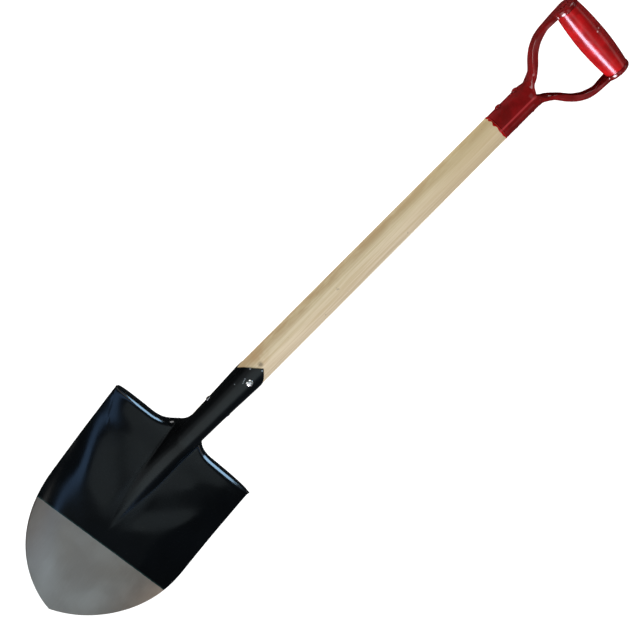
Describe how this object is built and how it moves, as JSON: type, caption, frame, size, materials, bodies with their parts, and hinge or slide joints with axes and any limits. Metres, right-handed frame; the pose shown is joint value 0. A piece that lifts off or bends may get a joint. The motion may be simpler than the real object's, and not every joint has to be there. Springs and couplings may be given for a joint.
{
  "type": "round-point digging shovel",
  "caption": "Round-point digging shovel: black pressed-steel blade with bare tip, straight wooden shaft, red riveted Y-shaped steel grip with a barrel-shaped cross tube.",
  "frame": {"origin": "middle of the underside of the bounding box, with the shovel lying on its back", "axes": "+Y along the shaft from the blade to the grip, +X across it to the right as seen from the front with the grip upwards, +Z out of the front, the side that the dish opens to"},
  "size_m": [0.2358, 0.9872, 0.0994],
  "materials": {
    "blade_paint": "gloss black stoving paint, the blade's tip left bare",
    "wood": "sanded, unvarnished",
    "bare_steel": "bright plain steel",
    "grip_paint": "gloss red paint"
  },
  "bodies": {
    "root": {"blade": "blade_paint", "shaft": "wood", "socket_front_rivet": "bare_steel", "socket_rivet_washer": "bare_steel", "socket_side_rivet": "bare_steel", "yoke_left": "grip_paint", "yoke_right": "grip_paint", "yoke_rivet_lower": "grip_paint", "yoke_rivet_upper": "grip_paint", "grip_bar": "grip_paint", "grip_bar_rod": "grip_paint"}
  },
  "joints": []
}
